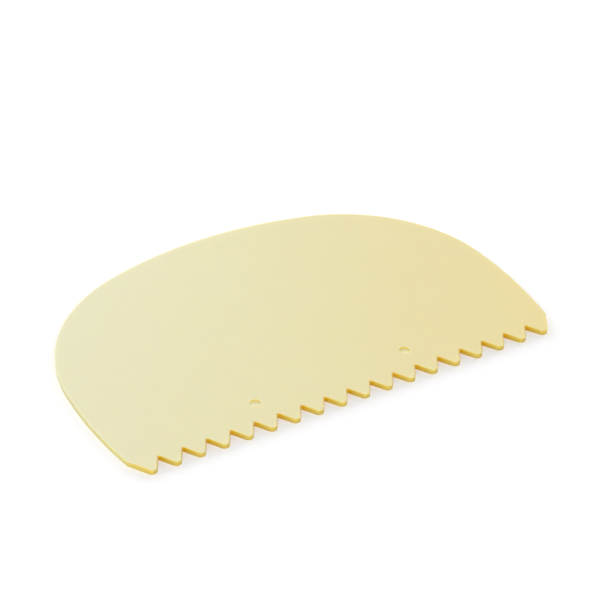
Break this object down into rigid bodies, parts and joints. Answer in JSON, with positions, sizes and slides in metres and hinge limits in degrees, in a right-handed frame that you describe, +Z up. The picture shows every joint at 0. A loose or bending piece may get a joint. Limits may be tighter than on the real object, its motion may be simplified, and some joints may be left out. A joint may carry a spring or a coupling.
{
  "type": "cake comb",
  "caption": "Thin flexible plastic scraper with an arched back, a straight row of V teeth for combing icing, and two shallow round recesses.",
  "frame": {"origin": "on the underside, at the middle of the bounding box in plan", "axes": "+X along the row of teeth, +Y from the teeth to the top of the arched back, +Z up out of the upper face"},
  "size_m": [0.1194, 0.0776, 0.0014],
  "materials": {
    "ivory_plastic": "satin moulded polypropylene, pale ivory yellow, a little translucent"
  },
  "bodies": {
    "root": {"cake_comb": "ivory_plastic"}
  },
  "joints": []
}
